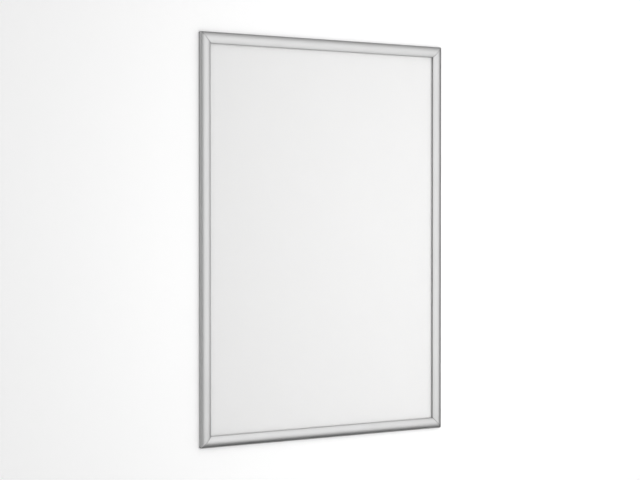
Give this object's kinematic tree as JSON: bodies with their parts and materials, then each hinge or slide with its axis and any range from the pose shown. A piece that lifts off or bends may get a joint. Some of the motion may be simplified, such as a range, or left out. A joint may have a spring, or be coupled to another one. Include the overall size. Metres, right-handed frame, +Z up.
{
  "type": "snap poster frame",
  "caption": "Wall-hung aluminium poster frame with domed mitred sides that snap open on hinges, over a clear cover, a poster sheet and a back panel.",
  "frame": {"origin": "middle of the back, in the plane of the wall", "axes": "+Y into the wall, so the poster faces -Y; +Z up along the long sides; +X to the right as seen from the front"},
  "size_m": [0.645, 0.012, 0.895],
  "materials": {
    "lid_aluminium": "satin silver anodised, fine lengthwise extrusion lines",
    "base_aluminium": "mill finish, silver anodised",
    "key_steel": "zinc plated",
    "spring_steel": "tempered spring steel",
    "back_panel": "white polystyrene sheet",
    "poster_paper": "matt white poster paper",
    "clear_cover": "clear non-glare plastic sheet"
  },
  "bodies": {
    "frame": {"base_rail_top": "base_aluminium", "base_rail_bottom": "base_aluminium", "base_rail_left": "base_aluminium", "base_rail_right": "base_aluminium", "corner_key_bottom_left": "key_steel", "corner_key_bottom_right": "key_steel", "corner_key_top_left": "key_steel", "corner_key_top_right": "key_steel", "back_panel": "back_panel", "poster": "poster_paper", "cover_sheet": "clear_cover"},
    "top_lid": {"snap_rail_top": "lid_aluminium"},
    "bottom_lid": {"snap_rail_bottom": "lid_aluminium"},
    "left_lid": {"snap_rail_left": "lid_aluminium"},
    "right_lid": {"snap_rail_right": "lid_aluminium"},
    "top_springs": {"leaf_spring_top_1": "spring_steel", "leaf_spring_top_2": "spring_steel"},
    "bottom_springs": {"leaf_spring_bottom_1": "spring_steel", "leaf_spring_bottom_2": "spring_steel"},
    "left_springs": {"leaf_spring_left_1": "spring_steel", "leaf_spring_left_2": "spring_steel", "leaf_spring_left_3": "spring_steel"},
    "right_springs": {"leaf_spring_right_1": "spring_steel", "leaf_spring_right_2": "spring_steel", "leaf_spring_right_3": "spring_steel"}
  },
  "joints": [
    {"name": "top_lid_hinge", "type": "hinge", "parent": "frame", "child": "top_lid", "pos_m": [0, -0.00502, 0.4449], "axis": [-1, 0, 0], "range_deg": [0, 90]},
    {"name": "bottom_lid_hinge", "type": "hinge", "parent": "frame", "child": "bottom_lid", "pos_m": [0, -0.00502, -0.4449], "axis": [1, 0, 0], "range_deg": [0, 90]},
    {"name": "left_lid_hinge", "type": "hinge", "parent": "frame", "child": "left_lid", "pos_m": [-0.3199, -0.00502, 0], "axis": [0, 0, -1], "range_deg": [0, 90]},
    {"name": "right_lid_hinge", "type": "hinge", "parent": "frame", "child": "right_lid", "pos_m": [0.3199, -0.00502, 0], "axis": [0, 0, 1], "range_deg": [0, 90]},
    {"name": "top_springs_rock", "type": "hinge", "parent": "frame", "child": "top_springs", "pos_m": [0, -0.00475, 0.43608], "axis": [-1, 0, 0], "range_deg": [-34, 0], "deforming": ["leaf_spring_top_1", "leaf_spring_top_2"]},
    {"name": "bottom_springs_rock", "type": "hinge", "parent": "frame", "child": "bottom_springs", "pos_m": [0, -0.00475, -0.43608], "axis": [1, 0, 0], "range_deg": [-34, 0], "deforming": ["leaf_spring_bottom_1", "leaf_spring_bottom_2"]},
    {"name": "left_springs_rock", "type": "hinge", "parent": "frame", "child": "left_springs", "pos_m": [-0.31108, -0.00475, 0], "axis": [0, 0, -1], "range_deg": [-34, 0], "deforming": ["leaf_spring_left_1", "leaf_spring_left_2", "leaf_spring_left_3"]},
    {"name": "right_springs_rock", "type": "hinge", "parent": "frame", "child": "right_springs", "pos_m": [0.31108, -0.00475, 0], "axis": [0, 0, 1], "range_deg": [-34, 0], "deforming": ["leaf_spring_right_1", "leaf_spring_right_2", "leaf_spring_right_3"]}
  ],
  "couplings": [
    {"joint": "top_springs_rock", "follows": "top_lid_hinge", "ratio": -0.3742},
    {"joint": "bottom_springs_rock", "follows": "bottom_lid_hinge", "ratio": -0.3742},
    {"joint": "left_springs_rock", "follows": "left_lid_hinge", "ratio": -0.3742},
    {"joint": "right_springs_rock", "follows": "right_lid_hinge", "ratio": -0.3742}
  ]
}
